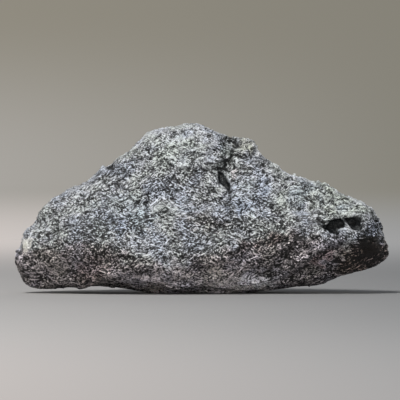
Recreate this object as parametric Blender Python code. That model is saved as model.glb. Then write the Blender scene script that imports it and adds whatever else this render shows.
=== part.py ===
"""A raw piece of nuummite: one rough, dark, broken stone that stands on a small flat spot.

X runs along the stone, Y from its front to its back and Z up. The origin is under its middle,
on the surface that it stands on. The shape is a field, in millimetres: it is negative inside the
stone, and zero on its skin. A plate cut to the stone's outline is settled on that skin, thinned
out to larger triangles, and then cut level underneath, where the stone stands.
"""

import math

import bmesh
import bpy
import numpy as np
from mathutils import Matrix, Vector

MM = 0.001

# The outline seen from the front, as (x, z), clockwise from the left foot. Its lowest stretch
# reaches below z = 0, so that the level cut there leaves a flat spot to stand on.
OUTLINE = [
    (-52.4, 1.8), (-54.2, 2.8), (-56.3, 6.8), (-57.4, 10.1), (-57.5, 12.8), (-55.7, 14.3),
    (-55.0, 16.5), (-54.0, 18.4), (-51.2, 20.8), (-50.4, 23.4), (-48.4, 26.3), (-45.5, 28.9),
    (-40.6, 31.4), (-34.4, 34.6), (-31.4, 36.9), (-29.5, 38.9), (-25.6, 40.4), (-22.3, 42.7),
    (-19.9, 45.3), (-17.2, 47.8), (-12.9, 49.7), (-8.6, 50.7), (-5.5, 51.7), (-1.8, 51.7),
    (1.2, 51.0), (3.7, 49.5), (8.0, 48.1), (13.5, 47.5), (16.6, 46.9), (17.4, 43.8),
    (19.4, 41.7), (20.8, 39.3), (24.9, 36.9), (29.0, 35.2), (33.8, 34.1), (38.1, 33.5),
    (42.4, 30.9), (45.5, 29.5), (49.2, 27.8), (52.0, 26.4), (53.2, 23.7), (55.7, 18.8),
    (57.5, 13.2), (56.6, 10.6), (53.8, 8.6), (49.2, 7.1), (42.4, 5.8), (36.9, 3.2),
    (30.1, 2.0), (20.9, 1.1), (14.0, 0.1), (6.0, -1.0), (-8.0, -1.0), (-15.5, 0.1),
    (-22.1, 1.1), (-28.3, 1.8), (-33.8, 2.5), (-39.1, 2.5), (-45.2, 1.7), (-49.8, 1.4),
]
# Where the outline's edge runs in plan, as (x, y): its upper half, which is the crest, and its
# lower half, and the heights between which the one passes into the other.
CREST = [(-57, -3.0), (-40, 2.0), (-22, 6.0), (0, 4.5), (17, 5.0), (32, -2.0), (57, -6.0)]
KEEL = [(-57, -3.0), (-40, 0.5), (-15, 0.5), (15, 0.5), (40, -2.5), (57, -6.0)]
KEEL_TO_CREST = (4.0, 28.0)
HALF_DEPTH = 22.0
# What the faces and the unevenness wear off the outline again.
OUTLINE_SPARE = 0.5
# How far in from the outline the stone reaches its full depth, towards the front and the back.
FRONT_RIM, BACK_RIM = 13.0, 24.0

# Broken faces: a point on each, then the way it looks, as degrees round from the front
# (towards the right) and degrees up from level.
FACES = {
    "front_middle": ((-4.0, -20.4, 11.0), -4, 26),
    "front_left": ((-36.0, -16.0, 15.0), -19, 30),
    "front_right": ((28.0, -18.5, 17.0), 4, 23),
    "right_slope": ((44.0, -16.6, 23.0), 30, 50),
    "right_end": ((54.0, -9.0, 20.0), 56, 14),
    "undercut": ((49.0, -15.6, 15.0), 36, -37),
    "front_foot": ((-13.0, -20.6, 8.4), 10, -37),
    "front_left_foot": ((-13.0, -20.8, 8.4), -16, -33),
    "left_end": ((-53.5, -10.5, 14.0), -56, 12),
    "back_middle": ((-8.0, 20.5, 19.0), 176, 19),
    "back_left": ((-34.0, 17.0, 14.0), 207, 25),
    "back_right": ((30.0, 17.0, 16.0), 157, 27),
    "back_foot": ((-2.0, 20.5, 14.0), 186, -37),
    "back_right_foot": ((36.0, 13.0, 9.0), 155, -40),
    "left_end_back": ((-53.0, 5.5, 13.0), 238, 6),
    "right_end_back": ((52.6, 3.5, 17.0), 121, 10),
}
EDGE_ROUNDING = 1.6

# Hollows where flakes broke away: a point on the face, the way it looks, as above, and then
# the hollow's radius of curvature and its depth.
HOLLOWS = [
    ((-28.0, -18.0, 9.0), -14, -20, 15, 1.5), ((-47.0, -13.0, 10.0), -30, -5, 12, 1.0),
    ((10.0, -19.0, 8.0), 8, -40, 14, 1.2), ((-2.0, -15.0, 27.0), -4, 22, 26, 0.8),
    ((-30.0, -12.5, 25.0), -19, 27, 18, 0.7), ((30.0, -14.0, 27.0), 4, 25, 22, 0.8),
    ((18.0, 15.5, 27.0), 165, 26, 17, 2.3), ((-22.0, 16.5, 24.0), 190, 25, 20, 1.9),
    ((2.0, 12.5, 41.0), 176, 26, 13, 1.6), ((-44.0, 13.0, 15.0), 207, 20, 17, 1.2),
    ((42.0, 9.5, 20.0), 150, 30, 12, 1.5), ((-6.0, 19.0, 8.0), 183, -30, 14, 1.4),
    ((24.0, 17.0, 8.0), 165, -34, 12, 1.3), ((-32.0, 2.0, 1.8), 180, -85, 16, 1.2),
    ((31.0, 3.0, 2.5), 150, -80, 15, 1.0),
]
HOLLOW_ROUNDING = 0.8

# Ledges across a face: the path of the lip, as (x, z) from left to right, the depth of the step
# under it, and how far below the lip the face takes to come out again.
FRONT_LEDGES = [
    ([(10.5, 12.8), (15.0, 15.6), (21.2, 16.4), (25.2, 18.3), (30.5, 19.9)], 1.5, 3.2),
    ([(17.5, 5.6), (22.4, 9.9), (25.2, 13.0), (29.6, 17.4)], 2.0, 3.2),
    ([(25.8, 3.4), (30.1, 8.1), (33.2, 10.9), (37.0, 12.8), (41.5, 13.4)], 1.5, 2.8),
    ([(-20.0, 9.4), (-14.0, 8.6), (-6.0, 10.6), (2.0, 11.8)], 0.8, 3.0),
    ([(-36.0, 13.8), (-31.0, 15.2), (-25.0, 13.4)], 0.7, 2.5),
    ([(-12.0, 20.0), (-5.0, 22.2), (3.0, 22.0), (11.0, 23.6)], 0.6, 3.0),
    ([(-4.0, 31.2), (0.5, 32.6), (3.5, 32.2)], 0.5, 2.0),
    ([(33.0, 21.8), (38.0, 22.6), (44.0, 23.2), (49.5, 22.6)], 0.9, 2.4),
]
BACK_LEDGES = [
    ([(-44.0, 17.0), (-33.0, 21.0), (-24.0, 21.5), (-14.0, 26.0)], 2.0, 5.0),
    ([(-20.0, 33.0), (-8.0, 36.0), (2.0, 35.0), (9.0, 38.0)], 1.6, 4.0),
    ([(4.0, 15.0), (14.0, 18.0), (24.0, 17.5), (36.0, 21.5), (46.0, 22.5)], 2.2, 4.5),
    ([(-30.0, 9.0), (-18.0, 10.0), (-6.0, 14.0), (2.0, 14.5)], 1.6, 3.5),
    ([(16.0, 29.0), (24.0, 30.5), (33.0, 29.5)], 1.2, 3.0),
    ([(8.0, 6.0), (18.0, 8.0), (30.0, 8.5), (38.0, 12.0)], 1.4, 3.0),
]
LEDGE_WALL = 2.0
LEDGE_FADE = 0.12

# The crack down from the crest: its path upwards, as (x, z), and the heights between which it
# opens. The face to the right of it is set back, most at the top, and a deep pit sits in it.
CRACK = [
    (8.3, 24.6), (7.4, 27.4), (7.4, 30.4), (6.5, 33.2), (5.2, 36.0), (5.8, 38.4), (6.8, 40.3),
    (8.6, 41.2), (9.2, 43.1), (9.0, 45.2), (9.4, 47.9),
]
CRACK_DEPTH = 1.8
CRACK_REACH = 1.1
CRACK_FADE = (24.0, 33.0)
SET_BACK = 3.2
SET_BACK_WIDTH = 18.0
SET_BACK_RISE = (25.0, 44.0)
SIDE_FACE = 3.4
CRACK_PIT = (6.1, 35.3)
CRACK_PIT_DEPTH = 2.4
CRACK_PIT_REACH = 1.7
CRACK_PIT_TALLNESS = 1.6

# The block beside the crack's top, as its lowest and highest (x, z), and how far it stands out.
# It runs on past the crest.
BLOCK_LOW, BLOCK_HIGH = (10.4, 43.2), (16.2, 50.0)
BLOCK_HEIGHT = 1.1
BLOCK_EDGE = 1.2

# The black pit under the lip at the right, as (x, z), and the notch on the left slope.
PIT = [
    (36.1, 21.7), (39.1, 22.5), (41.9, 23.2), (45.4, 23.4), (47.9, 22.9), (48.8, 20.2),
    (45.4, 20.3), (42.4, 19.2), (40.5, 18.1), (38.3, 19.9),
]
PIT_DEPTH = 2.6
PIT_EDGE = 0.9
NOTCH = (-28.8, 39.4)
NOTCH_DEPTH = 1.6
NOTCH_REACH = 1.6

# The surface's own unevenness, as (wavelength, height, seed), drawn out along the stone's grain.
# Its hollows are round, and meet at edges.
UNEVENNESS = [(40.0, 1.1, 3), (19.0, 0.7, 8), (8.5, 0.34, 21)]
# The outline itself stays as it is: the relief only starts within this distance of its edge.
EDGE_CALM = 4.5
EDGE_UNEVENNESS = 0.15
GRAIN_RISE = 12
GRAIN_STRETCH = 2.0
WAVES = 28
MEAN_WAVE = 0.8

# How the mesh is made: the plate that it starts from, how it is drawn to the skin, and the share
# of its triangles that stay.
PLATE_THICKNESS = 30.0
NET_CELL = 0.85
ROUNDS = 14
EVENING = 0.5
LONGEST_DROP = 2.0
LEAST_STEEPNESS = 0.3
THINNED_TO = 0.18


def smooth_max(a, b, rounding):
    """The larger of a and b, with the corner between them rounded off."""
    overlap = np.maximum(rounding - np.abs(a - b), 0) / rounding
    return np.maximum(a, b) + overlap**2 * rounding / 4


def ramp(value, start, end):
    """0 before start and 1 after end, with a smooth rise between them."""
    share = np.clip((value - start) / (end - start), 0, 1)
    return share * share * (3 - 2 * share)


def facing(turn, rise):
    """The direction that is turn degrees round from the front and rise degrees up."""
    turn, rise = math.radians(turn), math.radians(rise)
    level = math.cos(rise)
    return np.array([math.sin(turn) * level, -math.cos(turn) * level, math.sin(rise)])


def nearest_on(starts, ends, x, z):
    """The distance from each point to each straight side, and how far along the side it is."""
    sides = ends - starts
    points = np.stack([x, z], axis=-1)[:, None]
    share = ((points - starts) * sides).sum(-1) / (sides**2).sum(-1)
    share = np.clip(share, 0, 1)
    return np.linalg.norm(points - starts - share[..., None] * sides, axis=-1), share


def inside(outline, x, z):
    """How far each point lies inside a closed outline, and below zero outside it."""
    starts = np.array(outline)
    ends = np.roll(starts, -1, axis=0)
    distance = nearest_on(starts, ends, x, z)[0].min(axis=1)
    level = z[:, None]
    crosses = (starts[:, 1] > level) != (ends[:, 1] > level)
    rise = ends[:, 1] - starts[:, 1]
    rise[rise == 0] = 1
    crossing = starts[:, 0] + (level - starts[:, 1]) * (ends - starts)[:, 0] / rise
    within = (crosses & (x[:, None] < crossing)).sum(axis=1) % 2 == 1
    return np.where(within, distance, -distance)


def beside(path, x, z):
    """How far each point is from a path, positive on its right, and its share of the way along."""
    corners = np.array(path)
    starts, ends = corners[:-1], corners[1:]
    distances, shares = nearest_on(starts, ends, x, z)
    side = distances.argmin(axis=1)
    row = np.arange(len(x))
    way = (ends - starts)[side]
    across = way[:, 1] * (x - starts[side, 0]) - way[:, 0] * (z - starts[side, 1])
    distance = np.where(across > 0, distances[row, side], -distances[row, side])
    return distance, (side + shares[row, side]) / len(starts)


def behind_edge(points):
    """How far behind the outline's edge each point lies, and below zero in front of it."""
    x, y, z = points.T
    crest, keel = np.interp(x, *np.array(CREST).T), np.interp(x, *np.array(KEEL).T)
    return y - keel - (crest - keel) * ramp(z, *KEEL_TO_CREST)


def broad_form(points):
    """The outline swollen to a pebble, with the broken faces cut from it."""
    x, y, z = points.T
    away = behind_edge(points) / HALF_DEPTH
    rim = np.where(away < 0, FRONT_RIM, BACK_RIM)
    near_rim = np.maximum(1 - (inside(OUTLINE, x, z) + OUTLINE_SPARE) / rim, 0)
    form = (np.hypot(near_rim, away) - 1) * rim
    for place, turn, rise in FACES.values():
        form = smooth_max(form, (points - place) @ facing(turn, rise), EDGE_ROUNDING)
    return form


def hollowed(form, points):
    """The form with the flakes' hollows taken from it."""
    for place, turn, rise, radius, depth in HOLLOWS:
        centre = np.array(place) + facing(turn, rise) * (radius - depth)
        reach = radius - np.linalg.norm(points - centre, axis=1)
        form = smooth_max(form, reach, HOLLOW_ROUNDING)
    return form


def ledges(paths, x, z):
    """The depth of the steps below the ledges' lips."""
    total = np.zeros_like(x)
    for path, depth, reach in paths:
        below, share = beside(path, x, z)
        ends = ramp(share, 0, LEDGE_FADE) * ramp(1 - share, 0, LEDGE_FADE)
        step = ramp(below, 0, LEDGE_WALL) * np.exp(-np.maximum(below, 0) / reach)
        total += depth * ends * step
    return total


def crack(x, z):
    """The depth of the crack, with its pit and the set-back face to the right of it."""
    crack_x, crack_z = np.array(CRACK).T
    across = x - np.interp(z, crack_z, crack_x)
    cleft = CRACK_DEPTH * ramp(z, *CRACK_FADE) * np.exp(-((across / CRACK_REACH) ** 2))
    high = ramp(z, *SET_BACK_RISE)
    behind = ramp(across + SIDE_FACE * high, 0, SIDE_FACE) * ramp(-across, -SET_BACK_WIDTH, 0)
    from_pit = np.hypot(x - CRACK_PIT[0], (z - CRACK_PIT[1]) / CRACK_PIT_TALLNESS)
    pit = CRACK_PIT_DEPTH * np.exp(-((from_pit / CRACK_PIT_REACH) ** 2))
    return cleft + pit + SET_BACK * high * behind


def block(x, z):
    """How far the block beside the crack stands out."""
    (left, low), (right, high) = BLOCK_LOW, BLOCK_HIGH
    depth_inside = np.minimum(np.minimum(x - left, right - x), np.minimum(z - low, high - z))
    return BLOCK_HEIGHT * ramp(depth_inside, -BLOCK_EDGE / 2, BLOCK_EDGE / 2)


def front_relief(x, z):
    """The depth of everything that is cut into the front."""
    pit = PIT_DEPTH * ramp(inside(PIT, x, z), 0, PIT_EDGE)
    from_notch = np.hypot(x - NOTCH[0], z - NOTCH[1])
    notch = NOTCH_DEPTH * np.exp(-((from_notch / NOTCH_REACH) ** 2))
    return ledges(FRONT_LEDGES, x, z) + crack(x, z) - block(x, z) + pit + notch


def waviness(points, wavelength, seed):
    """A random surface of about this wavelength, which rises and falls by about 1."""
    pick = np.random.default_rng(seed)
    ways = pick.normal(size=(WAVES, 3))
    ways *= 2 * math.pi / wavelength / np.linalg.norm(ways, axis=1)[:, None]
    shifts = pick.uniform(0, 2 * math.pi, WAVES)
    return np.cos(points @ ways.T + shifts).sum(axis=1) * math.sqrt(2 / WAVES)


def unevenness(points):
    """The broken surface's rise and fall, which is longer along the grain than across it."""
    grain = facing(90, GRAIN_RISE)
    along = points @ grain
    drawn_out = points - np.outer(along * (1 - 1 / GRAIN_STRETCH), grain)
    total = np.zeros(len(points))
    for wavelength, height, seed in UNEVENNESS:
        total += height * (np.abs(waviness(drawn_out, wavelength, seed)) - MEAN_WAVE)
    return total


def stone(points):
    """The whole stone's field."""
    x, y, z = points.T
    form = hollowed(broad_form(points), points)
    behind = behind_edge(points)
    front, back = ramp(-behind, 0, EDGE_CALM), ramp(behind, 0, EDGE_CALM)
    calm = EDGE_UNEVENNESS + (1 - EDGE_UNEVENNESS) * ramp(np.abs(behind), 0, 2 * EDGE_CALM)
    form = form + front * front_relief(x, z) + back * ledges(BACK_LEDGES, x, z)
    return form + calm * unevenness(points)


def applied(piece):
    """The piece's mesh with its modifiers applied. The piece itself is removed."""
    graph = bpy.context.evaluated_depsgraph_get()
    mesh = bpy.data.meshes.new_from_object(piece.evaluated_get(graph))
    bpy.data.objects.remove(piece)
    return mesh


def outline_plate():
    """The outline as a thick plate, remeshed to an even net."""
    mesh = bpy.data.meshes.new("plate")
    plate = bpy.data.objects.new("plate", mesh)
    bpy.context.collection.objects.link(plate)
    net = bmesh.new()
    corners = [net.verts.new((x, -PLATE_THICKNESS / 2, z)) for x, z in OUTLINE]
    front = net.faces.new(corners)
    back = bmesh.ops.extrude_face_region(net, geom=[front])["geom"]
    moved = [part for part in back if isinstance(part, bmesh.types.BMVert)]
    bmesh.ops.translate(net, verts=moved, vec=(0, PLATE_THICKNESS, 0))
    bmesh.ops.recalc_face_normals(net, faces=net.faces)
    net.to_mesh(mesh)
    net.free()
    remesh = plate.modifiers.new("Remesh", "REMESH")
    remesh.mode = "VOXEL"
    remesh.voxel_size = NET_CELL
    return applied(plate)


def slope(field, points, here, step=0.05):
    """The field's gradient at each point, where its value here is known."""
    moves = step * np.eye(3)
    return np.stack([field(points + move) - here for move in moves], axis=-1) / step


def settle(points, edges, field):
    """Spreads the points evenly over the skin, where the field is zero."""
    ends = np.concatenate([edges, edges[:, ::-1]])
    count = np.bincount(ends[:, 0], minlength=len(points))[:, None]
    for _ in range(ROUNDS):
        total = np.zeros_like(points)
        np.add.at(total, ends[:, 0], points[ends[:, 1]])
        points = points + EVENING * (total / count - points)
        here = field(points)
        gradient = slope(field, points, here)
        steepness = np.maximum((gradient**2).sum(-1), LEAST_STEEPNESS)
        drop = np.clip(here / steepness, -LONGEST_DROP, LONGEST_DROP)
        points = points - drop[:, None] * gradient
    return points


def settled_mesh():
    """The plate settled on the stone's skin."""
    mesh = outline_plate()
    points = np.empty(len(mesh.vertices) * 3, np.float32)
    mesh.vertices.foreach_get("co", points)
    edges = np.empty(len(mesh.edges) * 2, np.int32)
    mesh.edges.foreach_get("vertices", edges)
    points = settle(points.reshape(-1, 3).astype(float), edges.reshape(-1, 2), stone)
    mesh.vertices.foreach_set("co", points.ravel())
    return mesh


def thinned(mesh):
    """The mesh with fewer triangles, which are largest where it is flat."""
    piece = bpy.data.objects.new("thinned", mesh)
    bpy.context.collection.objects.link(piece)
    decimate = piece.modifiers.new("Decimate", "DECIMATE")
    decimate.ratio = THINNED_TO
    decimate.use_collapse_triangulate = True
    return applied(piece)


def stand_level(mesh):
    """Cuts the mesh level at z = 0, closes the cut, and centres it over the origin."""
    net = bmesh.new()
    net.from_mesh(mesh)
    everything = list(net.verts) + list(net.edges) + list(net.faces)
    cut = bmesh.ops.bisect_plane(
        net, geom=everything, plane_co=(0, 0, 0), plane_no=(0, 0, -1), clear_outer=True
    )
    rim = [part for part in cut["geom_cut"] if isinstance(part, bmesh.types.BMEdge)]
    bmesh.ops.edgeloop_fill(net, edges=rim)
    bmesh.ops.recalc_face_normals(net, faces=net.faces)
    corners = np.array([vert.co for vert in net.verts])
    middle = (corners.min(axis=0) + corners.max(axis=0)) / 2
    net.transform(Matrix.Translation(Vector((-middle[0], -middle[1], 0))))
    net.transform(Matrix.Scale(MM, 4))
    net.to_mesh(mesh)
    net.free()


def stone_material():
    """Dark grey amphibole with a bluish cast, rough where it broke."""
    material = bpy.data.materials.new("nuummite")
    material.use_nodes = True
    shader = material.node_tree.nodes["Principled BSDF"]
    shader.inputs["Base Color"].default_value = (0.17, 0.185, 0.20, 1)
    shader.inputs["Roughness"].default_value = 0.6
    shader.inputs["Metallic"].default_value = 0
    return material


def main():
    for old in list(bpy.data.objects):
        bpy.data.objects.remove(old)
    mesh = thinned(settled_mesh())
    stand_level(mesh)
    mesh.materials.append(stone_material())
    mesh.name = "nuummite"
    bpy.context.collection.objects.link(bpy.data.objects.new("nuummite", mesh))


main()
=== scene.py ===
"""The looks of the raw nuummite: its broken, fibrous surface, its felted needle crystals and the
studio that it stands in. Lengths are in millimetres until a mesh or a node is made.
"""
import math

import bmesh
import bpy
import numpy as np
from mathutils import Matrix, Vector


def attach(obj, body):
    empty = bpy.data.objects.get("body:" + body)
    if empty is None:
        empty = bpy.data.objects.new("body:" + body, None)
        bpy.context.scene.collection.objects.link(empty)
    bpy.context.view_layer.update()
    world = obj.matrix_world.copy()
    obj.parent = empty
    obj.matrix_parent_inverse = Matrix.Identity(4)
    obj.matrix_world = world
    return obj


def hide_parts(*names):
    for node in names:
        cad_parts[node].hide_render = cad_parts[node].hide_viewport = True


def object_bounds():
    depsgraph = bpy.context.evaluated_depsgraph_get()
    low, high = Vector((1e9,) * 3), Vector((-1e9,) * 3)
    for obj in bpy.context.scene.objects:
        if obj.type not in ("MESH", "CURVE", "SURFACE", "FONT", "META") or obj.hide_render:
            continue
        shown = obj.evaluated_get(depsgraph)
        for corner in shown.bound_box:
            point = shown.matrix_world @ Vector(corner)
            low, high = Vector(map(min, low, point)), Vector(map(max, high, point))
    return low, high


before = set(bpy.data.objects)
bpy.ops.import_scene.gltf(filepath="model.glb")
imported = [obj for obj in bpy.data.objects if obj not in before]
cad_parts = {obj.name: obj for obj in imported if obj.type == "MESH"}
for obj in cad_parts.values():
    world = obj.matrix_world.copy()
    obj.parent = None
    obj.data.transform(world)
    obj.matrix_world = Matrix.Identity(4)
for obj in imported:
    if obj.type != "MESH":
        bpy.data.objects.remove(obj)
CAD_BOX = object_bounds()

MM = 0.001
BOX_MM = np.array(CAD_BOX) / MM

# The camera. The photograph is 400 pixels wide and high, and the stone is 374 of them long. The
# camera's way to the stone and the nearest thing that it shows are in metres, and its rise in
# degrees.
PHOTO_SIDE = 400
STONE_MM = 115.0
STONE_PIXELS = 374
STONE_MIDDLE_PIXEL = (202, 208)
CAMERA_AWAY = 1.6
CAMERA_RISE = 1.2
SENSOR = 36.0
NEAREST_SHOWN = 0.01

# The stage, in metres: its flat middle, the bend round it and the wall's top. The floor and the
# bend are made of so many steps, and the whole of so many sides.
STAGE_FLAT = 2.0
STAGE_BEND = 0.7
STAGE_TOP = 1.8
FLOOR_STEPS = 20
BEND_STEPS = 24
STAGE_SIDES = 96
# The stage's colours, each at the left and at the right: the paper near the stone, darker at the
# right as painted shade, and the glow of the floor further out, of the wall's foot and of the wall,
# which is painted light, brighter at the left.
NEAR_PAPER = ((0.37, 0.36, 0.355), (0.20, 0.205, 0.21))
FLOOR_GLOW = ((0.64, 0.59, 0.565), (0.33, 0.335, 0.34))
FOOT_GLOW = ((0.43, 0.41, 0.385), (0.205, 0.197, 0.162))
WALL_GLOW = ((0.290, 0.268, 0.222), (0.228, 0.217, 0.182))
# Where the colours change, in metres: from left to right, near the stone and further out, then
# outwards from paper to glow and from floor to foot, and upwards from foot to wall.
NEAR_CROSSING = (-0.12, 0.12)
FAR_CROSSING = (-0.32, 0.32)
PAPER_TO_GLOW = (0.15, 0.60)
FLOOR_TO_FOOT = (0.35, 1.9)
FOOT_TO_WALL = (0.0, 0.13)
STAGE_ROUGHNESS = 0.9

# The lamps: the place in metres, the size, the power in watts and the colour. All point at one
# place in the stone.
LAMPS = {
    "key": ((-0.32, -0.55, 0.95), 0.35, 13.0, (1.0, 0.985, 0.96)),
    "fill": ((0.2, -1.1, 0.12), 0.9, 4.8, (0.97, 0.98, 1.0)),
    "back": ((0.45, 1.1, 0.45), 0.9, 4.5, (0.98, 0.99, 1.0)),
}
LIT_PLACE = (0, 0, 0.025)
AIR_COLOUR = (0.80, 0.87, 1.0)
AIR_STRENGTH = 0.28

# The fine skin of the stone: how near points are welded, its net, in how many rounds and by which
# steps its flat triangles are smoothed away, the share of its triangles that stay once the back is
# thinned, and from where to where, and in how many levels, it counts as the back.
WELD = 0.005
SKIN_CELL = 0.37
FACET_EVENING = 14
EVENING_STEPS = (0.6, -0.62)
SKIN_KEPT = 0.69
BEHIND = (0.05, 0.45)
BEHIND_LEVELS = 10
# How far the skin lies inside the solid, and the height at which it has its full relief.
SKIN_SUNK = 0.1
BASE_HEIGHT = 0.8
# In crevices and pits, from the first depth to the second, the skin is smoothed in some rounds and
# steps, so that it cuts through itself less.
DEEP_EASING = 6
EASING_STEP = 0.5
DEEP = (0.3, 0.9)

# The needles lie roughly along the grain, which rises a little to the right.
GRAIN = (0.978, 0.0, 0.208)
GRAIN_SPREAD = (0.2, 0.5, 1.15)

# Crevices in the front: the path of each as (x, z), half its width, its depth, and how black it is
# painted, as painted shade in the crevice.
CREVICES = {
    "crack_top": ([(9.4, 48.2), (10.1, 46.2), (9.9, 44.4), (9.6, 42.6), (8.6, 41.1)], 0.5, 1.3, 1.0),
    "crack_bend": ([(8.8, 41.1), (7.4, 40.4), (6.4, 39.4), (5.6, 38.2)], 0.5, 1.2, 1.0),
    "slab_left": ([(4.2, 44.0), (3.4, 42.1), (2.5, 40.0), (2.2, 38.1)], 0.4, 0.6, 0.6),
    "slab_top": ([(4.0, 49.2), (7.1, 47.8), (9.7, 47.5)], 0.4, 0.8, 0.9),
    "crack_foot": ([(8.0, 33.4), (8.5, 30.5), (8.1, 27.4), (8.7, 24.6)], 0.4, 0.7, 0.6),
    "crest_left": ([(1.2, 51.2), (2.6, 50.5), (4.2, 49.6)], 0.4, 0.7, 0.8),
    "under_block_left": ([(10.4, 41.9), (11.6, 41.4)], 0.4, 0.6, 0.8),
    "under_block_right": ([(12.8, 42.1), (14.2, 41.3), (15.0, 41.9)], 0.4, 0.6, 0.8),
    "right_of_block": ([(17.6, 44.6), (18.6, 42.9), (20.0, 40.6)], 0.4, 0.5, 0.5),
    "notch": ([(-29.4, 40.2), (-28.6, 39.2), (-27.6, 38.6)], 0.8, 1.2, 1.0),
    "crease_slab": ([(-0.6, 31.9), (2.0, 31.4), (4.2, 31.7)], 0.45, 0.6, 0.6),
    "crease_pit": ([(9.4, 31.7), (11.9, 31.6), (13.6, 32.0)], 0.35, 0.5, 0.6),
    "crease_low": ([(3.0, 24.0), (6.5, 22.4), (9.6, 21.8), (13.8, 20.6)], 0.6, 0.7, 0.5),
    "crease_mid": ([(-4.2, 24.6), (-1.4, 23.6), (1.2, 22.4)], 0.5, 0.5, 0.5),
    "spot_left": ([(-9.2, 16.2), (-7.6, 15.7)], 0.7, 0.6, 0.7),
    "spot_middle": ([(3.2, 19.6), (4.8, 18.9)], 0.8, 0.7, 0.7),
    "spot_right": ([(11.0, 20.6), (12.4, 20.2)], 0.6, 0.6, 0.7),
    "slit_right": ([(26.4, 33.6), (29.2, 33.2), (32.0, 33.4)], 0.3, 0.4, 0.6),
    "lip_first": ([(12.6, 14.4), (16.2, 15.0), (21.3, 15.5), (26.6, 17.2), (30.4, 18.8)], 1.0, 0.5, 0.35),
    "lip_second": ([(20.4, 5.6), (24.2, 10.6), (27.6, 14.6), (30.8, 18.6)], 1.2, 0.9, 0.6),
    "lip_third": ([(26.0, 4.0), (30.1, 7.8), (35.0, 11.6), (42.0, 13.6)], 1.0, 0.8, 0.6),
}
# Glossy black mineral laid bare in pits: outlines as (x, z), and their depths.
BLACK_PITS = {
    "crack_pit": ([
        (4.8, 37.4), (6.2, 37.5), (7.1, 36.6), (8.1, 34.7), (8.5, 33.2), (8.0, 31.7), (7.1, 32.6),
        (6.2, 33.5), (4.9, 34.4), (5.1, 36.0),
    ], 1.7),
    "left_lobe": ([
        (35.5, 21.9), (37.0, 21.3), (38.6, 21.5), (39.1, 22.3), (41.1, 22.5), (41.6, 23.0),
        (42.6, 23.2), (43.6, 21.0), (41.8, 20.2), (41.3, 18.2), (39.6, 19.0), (38.3, 20.0),
        (36.6, 20.7),
    ], 1.3),
    "right_lobe": ([
        (41.9, 23.8), (45.1, 23.6), (47.4, 24.1), (48.8, 22.9), (48.2, 21.6), (49.0, 20.5),
        (47.8, 19.4), (46.1, 19.7), (45.0, 20.5), (43.9, 22.2),
    ], 1.3),
}
# From where to where outside and inside its outline a pit gets its depth and turns black.
PIT_WALL = (-0.3, 0.5)
PIT_BLACK = (-0.35, 0.0)
# How far the edges of crevices and pits wander, over which wavelengths and with which seeds, and
# how much of that the pits' edges keep.
EDGE_WOBBLE = 0.32
EDGE_SWAY = (2.2, 51)
EDGE_RISE = (2.4, 52)
PIT_SWAY = 0.4
PIT_RISE = 0.2
# Crevices, in half widths: how far they reach, and from where to where their painted shade fades.
CREVICE_REACH = 1.6
CREVICE_FADES = (0.5, 1.7)
# Pale strands of needles that cross a pit or lie below it, as (x, z), how far from its path a
# strand starts to fade and ends, how high it stands and how much lighter it is.
STRANDS = [
    [(42.2, 23.4), (43.6, 22.0), (45.6, 20.2)], [(41.6, 20.2), (44.4, 19.6), (48.2, 19.0)],
    [(41.5, 16.9), (45.0, 16.3), (48.3, 15.4)], [(37.2, 17.6), (40.6, 16.4), (42.0, 14.8)],
    [(7.3, 36.6), (7.9, 35.4), (8.5, 34.2)],
]
STRAND_EDGE = (0.125, 0.4)
STRAND_RAISED = 0.6
STRAND_LIGHTER = 0.45
# The brow, where the front's upper face turns under, as (x, z). Below it the stone is browner, and darker
# as painted shade.
BROW = [
    (-57.0, 13.0), (-50.0, 13.5), (-44.0, 15.0), (-36.0, 16.6), (-29.8, 15.0), (-22.1, 11.2),
    (-12.9, 9.2), (-6.8, 9.0), (-2.2, 11.4), (4.6, 12.9), (12.3, 15.4), (20.0, 16.9),
    (27.7, 19.3), (36.0, 17.5), (47.0, 15.0), (57.0, 15.0),
]
BROW_SOFTNESS = 2.4
BROW_WOBBLE = 0.8
BROW_WAVES = (5.0, 63)
# On the back the stone is browner, and darker as painted shade, where it faces down, from where to
# where, and how that wanders.
DOWNWARD = (0.0, 0.4)
DOWNWARD_WOBBLE = 0.1
DOWNWARD_WAVES = (5.0, 64)
# In how many rounds the stone's direction is evened out, and in how many the relief is, to see how
# far each point stands out of its surroundings.
LOOKS_ROUNDS = 8
RELIEF_ROUNDS = 12
# Where the skin stands up a little on the left of the crest, as (x, z), how far that reaches and
# how high it is.
CREST = (-14.0, 48.0)
CREST_REACH = (3.0, 9.0)
CREST_RAISED = 0.15
# Tilted facets, as where grains broke away, coarse and fine: their size, their slope and a seed.
COARSE_FACETS = (5.5, 0.128, 11)
FINE_FACETS = (2.4, 0.264, 12)
FACET_STRETCH = (0.6, 1, 1)
# The fine ones are lower at the left: their share there, and the slant of the line where that ends
# and from where to where it does.
LEFT_SHARE = 0.65
LEFT_SLANT = 0.6
LEFT_EDGE = (-36, -16)
# Creases: the wavelength and the seed of their lines, how they are drawn out, and how narrow they
# are.
CREASES = [(7.0, 71), (4.2, 72)]
CREASE_STRETCH = (0.75, 1, 1)
CREASE_NARROWNESS = 0.16
# Creases are only in some areas, so many wavelengths wide, and fade at the edges of those.
CREASE_AREAS = 2.2
CREASE_FADES = (-0.1, 0.7)
# How deep they are, and how dark they are painted, as painted shade.
CREASE_DEPTH = 0.35
CREASE_PAINTED_SHADE = 0.45
# Lumps of needles, large and small: the size of the bundles in which they lie one way, their width
# and length, a seed, how unevenly high they are, and how wide their edges and the gaps are.
LUMPS = [(4.0, 1.2, 3.6, 21, 0.22, 0.35, 0.30), (2.4, 0.75, 1.7, 31, 0.30, 0.40, 0.35)]
GAP_DEPTH = 0.10
# Of the small lumps, those with a random number above this one have fallen out.
FALLEN_FROM = 0.86
FALLEN_DEPTH = 0.35
FALLEN_EDGE = (0.05, 0.4)
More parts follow.
